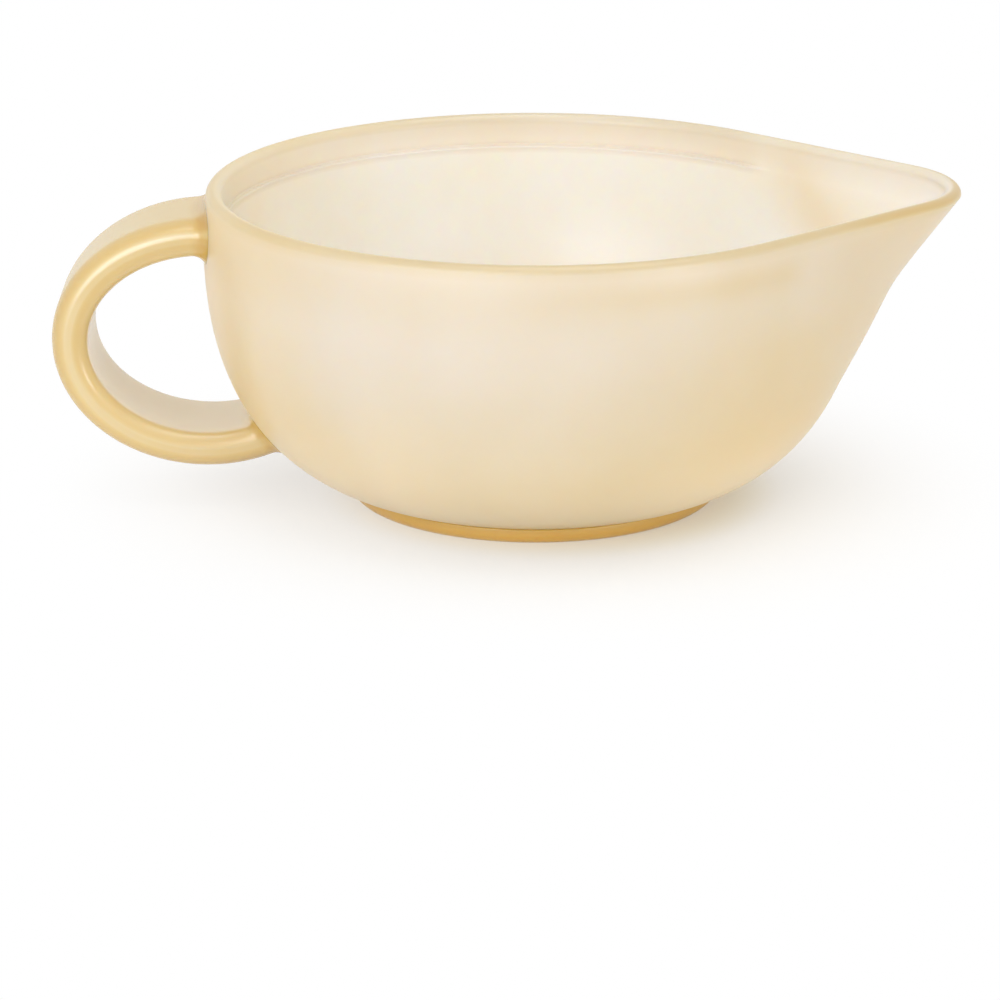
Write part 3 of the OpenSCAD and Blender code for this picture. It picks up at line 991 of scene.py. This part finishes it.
def satin_grain_group():
    """Fine matt grain of moulded rubber, with smears in its roughness."""
    name = "Satin grain"
    if name in bpy.data.node_groups:
        return bpy.data.node_groups[name]
    group, source, sink = new_group(
        name,
        [("NodeSocketFloat", "Roughness", 0.0), ("NodeSocketFloat", "Smear", 0.0)],
        [("NodeSocketFloat", "Roughness"), ("NodeSocketFloat", "Height")],
    )
    smear = math_node(group, "SUBTRACT", noise_node(group, *SMEAR_NOISE), NOISE_MEAN)
    smear = math_node(group, "MULTIPLY", smear, source.outputs["Smear"])
    rough = math_node(group, "ADD", source.outputs["Roughness"], smear, clamp=True)
    group.links.new(rough, sink.inputs["Roughness"])
    group.links.new(noise_node(group, *GRAIN_NOISE), sink.inputs["Height"])
    return group


def rubber_material(name, kit, thin, roughness, gloss, glow_scale, pale=None):
    """Translucent satin rubber whose colour deepens with its thickness, from a thin to a pale colour."""
    look = kit.rubber
    material = bpy.data.materials.new(name)
    material.use_nodes = True
    tree = material.node_tree
    shader = tree.nodes["Principled BSDF"]
    tint = tree.nodes.new("ShaderNodeGroup")
    tint.node_tree = rubber_tint_group()
    tint.inputs["Thin"].default_value = (*thin, 1)
    tint.inputs["Soak"].default_value = (*look.soak, 1)
    tint.inputs["Cloud"].default_value = look.cloud
    tree.links.new(attribute_node(tree, DEPTH), tint.inputs["Depth"])
    if pale is not None:
        tree.links.new(mix_colours(tree, attribute_node(tree, PALE), thin, pale), tint.inputs["Thin"])
    tree.links.new(tint.outputs["Colour"], shader.inputs["Base Color"])
    grain = tree.nodes.new("ShaderNodeGroup")
    grain.node_tree = satin_grain_group()
    grain.inputs["Roughness"].default_value = roughness
    grain.inputs["Smear"].default_value = look.smear
    bump = tree.nodes.new("ShaderNodeBump")
    bump.inputs["Strength"].default_value = look.grain
    bump.inputs["Distance"].default_value = look.grain_height
    tree.links.new(grain.outputs["Height"], bump.inputs["Height"])
    tree.links.new(grain.outputs["Roughness"], shader.inputs["Roughness"])
    tree.links.new(bump.outputs["Normal"], shader.inputs["Normal"])
    shader.inputs["IOR"].default_value = look.refraction
    shader.inputs["Specular IOR Level"].default_value = gloss
    shader.inputs["Subsurface Weight"].default_value = look.glow
    shader.inputs["Subsurface Radius"].default_value = look.glow_colour
    shader.inputs["Subsurface Scale"].default_value = glow_scale
    return material


def finish_piece(piece, node, material):
    """Gives a piece its rubber and lets it stand for its node in the frame."""
    piece.data.materials.append(material)
    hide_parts(node)
    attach(piece, BODY)


# Stage


def seen_by_eye(tree):
    """1 for what is seen directly, mirrored or through glass, and 0 for other light."""
    path = tree.nodes.new("ShaderNodeLightPath")
    seen = math_node(tree, "MAXIMUM", path.outputs["Is Camera Ray"], path.outputs["Is Glossy Ray"])
    return math_node(tree, "MAXIMUM", seen, path.outputs["Is Transmission Ray"])


def distance_node(tree, where, point):
    """Distance of a place from a point."""
    node = tree.nodes.new("ShaderNodeVectorMath")
    node.operation = "DISTANCE"
    node.inputs[1].default_value = point
    tree.links.new(where, node.inputs[0])
    return node.outputs["Value"]


def range_node(tree, value, start, end, kind="SMOOTHSTEP"):
    """A node that goes from 0 to 1 while a value goes from start to end."""
    node = tree.nodes.new("ShaderNodeMapRange")
    node.interpolation_type = kind
    node.inputs["From Min"].default_value = start
    node.inputs["From Max"].default_value = end
    tree.links.new(value, node.inputs["Value"])
    return node


def floor_material(kit):
    """Pale floor that keeps the shadow and reads as plain white to the camera."""
    look, foot = kit.studio, kit.foot
    material = bpy.data.materials.new("pale_floor")
    material.use_nodes = True
    tree = material.node_tree
    tree.nodes.remove(tree.nodes["Principled BSDF"])
    diffuse = tree.nodes.new("ShaderNodeBsdfDiffuse")
    white = tree.nodes.new("ShaderNodeEmission")
    mix = tree.nodes.new("ShaderNodeMixShader")
    where = tree.nodes.new("ShaderNodeTexCoord").outputs["Object"]
    # Painted shade: the floor by the foot is tinted amber, for the coloured shadow under the rubber
    from_foot = distance_node(tree, where, look.painted_shade_middle)
    painted_shade = range_node(tree, from_foot, foot.radius + look.painted_shade_start, foot.radius + look.painted_shade_end)
    tint = mix_colours(tree, painted_shade.outputs["Result"], look.painted_floor_shade, look.floor)
    tree.links.new(tint, diffuse.inputs["Color"])
    axes = tree.nodes.new("ShaderNodeSeparateXYZ")
    tree.links.new(where, axes.inputs["Vector"])
    least = range_node(tree, axes.outputs["X"], -foot.radius, foot.radius, "LINEAR")
    least.inputs["To Min"].default_value = look.handle_glow
    least.inputs["To Max"].default_value = look.spout_glow
    glow = range_node(tree, distance_node(tree, where, look.shade), look.shade_start, look.shade_end)
    tree.links.new(least.outputs["Result"], glow.inputs["To Min"])
    plain = math_node(tree, "MULTIPLY", seen_by_eye(tree), glow.outputs["Result"])
    tree.links.new(plain, mix.inputs["Fac"])
    tree.links.new(diffuse.outputs["BSDF"], mix.inputs[1])
    tree.links.new(white.outputs["Emission"], mix.inputs[2])
    tree.links.new(mix.outputs["Shader"], tree.nodes["Material Output"].inputs["Surface"])
    return material


def pale_floor(kit):
    """A wide flat floor under the foot."""
    half = kit.studio.floor_half
    mesh = bpy.data.meshes.new("floor")
    corners = [(-half, -half, 0), (half, -half, 0), (half, half, 0), (-half, half, 0)]
    mesh.from_pydata(corners, [], [(0, 1, 2, 3)])
    mesh.materials.append(floor_material(kit))
    floor = add_object("floor", mesh)


def facing(where, aim):
    """Rotation of a lamp or a camera at one point that faces another."""
    return (Vector(aim) - Vector(where)).to_track_quat("-Z", "Y").to_euler()


def soft_lamp(look, name):
    """A square soft lamp with its own place, size and power, which faces the lamps' aim."""
    where = getattr(look, name + "_place")
    light = bpy.data.lights.new(name, "AREA")
    light.energy = getattr(look, name + "_power")
    light.size = getattr(look, name + "_size")
    lamp = add_object(name, light)
    lamp.location = where
    lamp.rotation_euler = facing(where, look.lamp_aim)


def white_world(kit):
    """Even light from all sides, plain white where it is seen or mirrored."""
    world = bpy.data.worlds.new("studio")
    world.use_nodes = True
    tree = world.node_tree
    sky = tree.nodes["Background"]
    level = math_node(tree, "MULTIPLY", seen_by_eye(tree), 1 - kit.studio.world)
    tree.links.new(math_node(tree, "ADD", level, kit.studio.world), sky.inputs["Strength"])
    sky.inputs["Color"].default_value = (1, 1, 1, 1)
    bpy.context.scene.world = world


def set_camera(kit):
    """The camera at the photograph's place and lens."""
    look = kit.studio
    data = bpy.data.cameras.new("camera")
    data.lens = look.lens
    data.sensor_width = SENSOR_WIDTH
    camera = add_object("camera", data)
    camera.location = look.camera
    camera.rotation_euler = facing(look.camera, look.aim)
    bpy.context.scene.camera = camera


# Operators and panel


class FEEDING_BOWL_OT_bowl(bpy.types.Operator):
    """Make the round bowl with its lip, ledge and spout"""

    bl_idname = "feeding_bowl.bowl"
    bl_label = "Bowl"

    def execute(self, context):
        kit = context.scene.feeding_bowl
        grid = bowl_grid(kit)
        piece = grid_piece("bowl_shell", grid)
        look = kit.rubber
        depth, pale = bowl_depth(kit, grid, rubber_thickness(piece, grid, look.depth_end))
        set_layer(piece, DEPTH, depth)
        set_layer(piece, PALE, pale)
        rubber = rubber_material(
            "bowl_rubber", kit, look.lip, look.roughness, look.gloss, look.glow_scale, look.inside
        )
        finish_piece(piece, "bowl", rubber)
        return {"FINISHED"}


class FEEDING_BOWL_OT_handle(bpy.types.Operator):
    """Make the strap loop that the bowl is held by"""

    bl_idname = "feeding_bowl.handle"
    bl_label = "Handle"

    def execute(self, context):
        kit = context.scene.feeding_bowl
        grid = handle_grid(kit)
        piece = grid_piece("strap_handle", grid)
        look = kit.rubber
        depth, pale = strap_depth(kit, grid)
        set_layer(piece, DEPTH, depth)
        set_layer(piece, PALE, pale)
        # The strap's inner face takes the pale inside colour, as painted light
        rubber = rubber_material(
            "handle_rubber", kit, look.strap, look.strap_roughness, look.strap_gloss,
            look.strap_glow_scale, look.inside,
        )
        finish_piece(piece, "handle", rubber)
        return {"FINISHED"}


class FEEDING_BOWL_OT_foot(bpy.types.Operator):
    """Make the round foot under the bowl"""

    bl_idname = "feeding_bowl.foot"
    bl_label = "Foot"

    def execute(self, context):
        kit = context.scene.feeding_bowl
        grid = foot_grid(kit)
        piece = grid_piece("round_foot", grid)
        look = kit.rubber
        underside = smooth(*UNDERSIDE_HEIGHTS, grid[..., 2])
        set_layer(piece, DEPTH, look.foot_depth + (look.underside_depth - look.foot_depth) * underside)
        rubber = rubber_material(
            "foot_rubber", kit, look.foot, look.roughness, look.gloss, look.strap_glow_scale
        )
        finish_piece(piece, "foot", rubber)
        return {"FINISHED"}


class FEEDING_BOWL_OT_stage(bpy.types.Operator):
    """Set the pale floor, the soft lamps and the camera"""

    bl_idname = "feeding_bowl.stage"
    bl_label = "Stage"

    def execute(self, context):
        kit = context.scene.feeding_bowl
        pale_floor(kit)
        for name in ("key", "front", "right"):
            soft_lamp(kit.studio, name)
        white_world(kit)
        set_camera(kit)
        context.scene.view_settings.view_transform = "Standard"
        return {"FINISHED"}


class FEEDING_BOWL_PT_panel(bpy.types.Panel):
    """Sidebar panel with the sizes, the finish and the build buttons"""

    bl_idname = "FEEDING_BOWL_PT_panel"
    bl_label = "Feeding Bowl"
    bl_space_type = "VIEW_3D"
    bl_region_type = "UI"
    bl_category = "Feeding Bowl"

    def draw(self, context):
        kit = context.scene.feeding_bowl
        for title in ("bowl", "spout", "handle", "foot", "rubber", "studio"):
            group = getattr(kit, title)
            box = self.layout.box()
            box.label(text=title.capitalize())
            for name in group.__annotations__:
                box.prop(group, name)
        for operator in OPERATORS:
            self.layout.operator(operator.bl_idname)


OPERATORS = (FEEDING_BOWL_OT_bowl, FEEDING_BOWL_OT_handle, FEEDING_BOWL_OT_foot, FEEDING_BOWL_OT_stage)
CLASSES = (
    BowlSizes, SpoutSizes, HandleSizes, FootSizes, RubberLook, StudioLook, FeedingBowl,
    *OPERATORS, FEEDING_BOWL_PT_panel,
)


def register():
    """Adds the settings, the operators and the panel to Blender."""
    for cls in CLASSES:
        bpy.utils.register_class(cls)
    bpy.types.Scene.feeding_bowl = PointerProperty(type=FeedingBowl)


def unregister():
    """Takes them out again."""
    del bpy.types.Scene.feeding_bowl
    for cls in reversed(CLASSES):
        bpy.utils.unregister_class(cls)


def main():
    """Builds the bowl and its stage."""
    register()
    bpy.ops.feeding_bowl.bowl()
    bpy.ops.feeding_bowl.handle()
    bpy.ops.feeding_bowl.foot()
    bpy.ops.feeding_bowl.stage()


if __name__ == "__main__":
    main()
